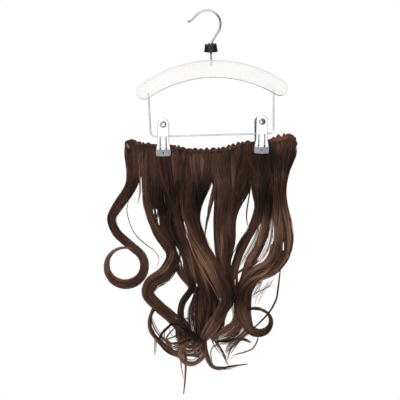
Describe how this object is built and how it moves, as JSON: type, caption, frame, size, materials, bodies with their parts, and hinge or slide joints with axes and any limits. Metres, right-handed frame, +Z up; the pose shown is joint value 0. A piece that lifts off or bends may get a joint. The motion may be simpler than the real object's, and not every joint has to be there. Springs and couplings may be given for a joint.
{
  "type": "hair extension on a display hanger",
  "caption": "Gathered weft of long wavy brown hair with curled ends, clipped to the wire bail of a clear arched hanger that hangs from a rail by its hook.",
  "frame": {"origin": "inside of the hook's crown, where the hanger rests on its rail", "axes": "+Z up, +X to the right as seen from the front, -Y towards the front"},
  "size_m": [0.3643, 0.0478, 0.7308],
  "materials": {
    "hair": "glossy wavy hair",
    "weft": "sewn gathered tape",
    "clear_board": "polished clear acrylic",
    "wire": "polished chrome wire",
    "clip_plate": "polished chrome sheet",
    "clip_spring": "bright spring wire",
    "clip_pad": "matt grey plastic",
    "cap": "satin black plastic"
  },
  "bodies": {
    "root": {"hair": "hair", "weft_band": "weft", "hanger_body": "clear_board", "hook": "wire", "bail": "wire", "hook_cap": "cap", "clip_left_front_plate": "clip_plate", "clip_left_back_plate": "clip_plate", "clip_left_front_pad": "clip_pad", "clip_left_back_pad": "clip_pad", "clip_left_spring": "clip_spring", "clip_right_front_plate": "clip_plate", "clip_right_back_plate": "clip_plate", "clip_right_front_pad": "clip_pad", "clip_right_back_pad": "clip_pad", "clip_right_spring": "clip_spring"}
  },
  "joints": []
}
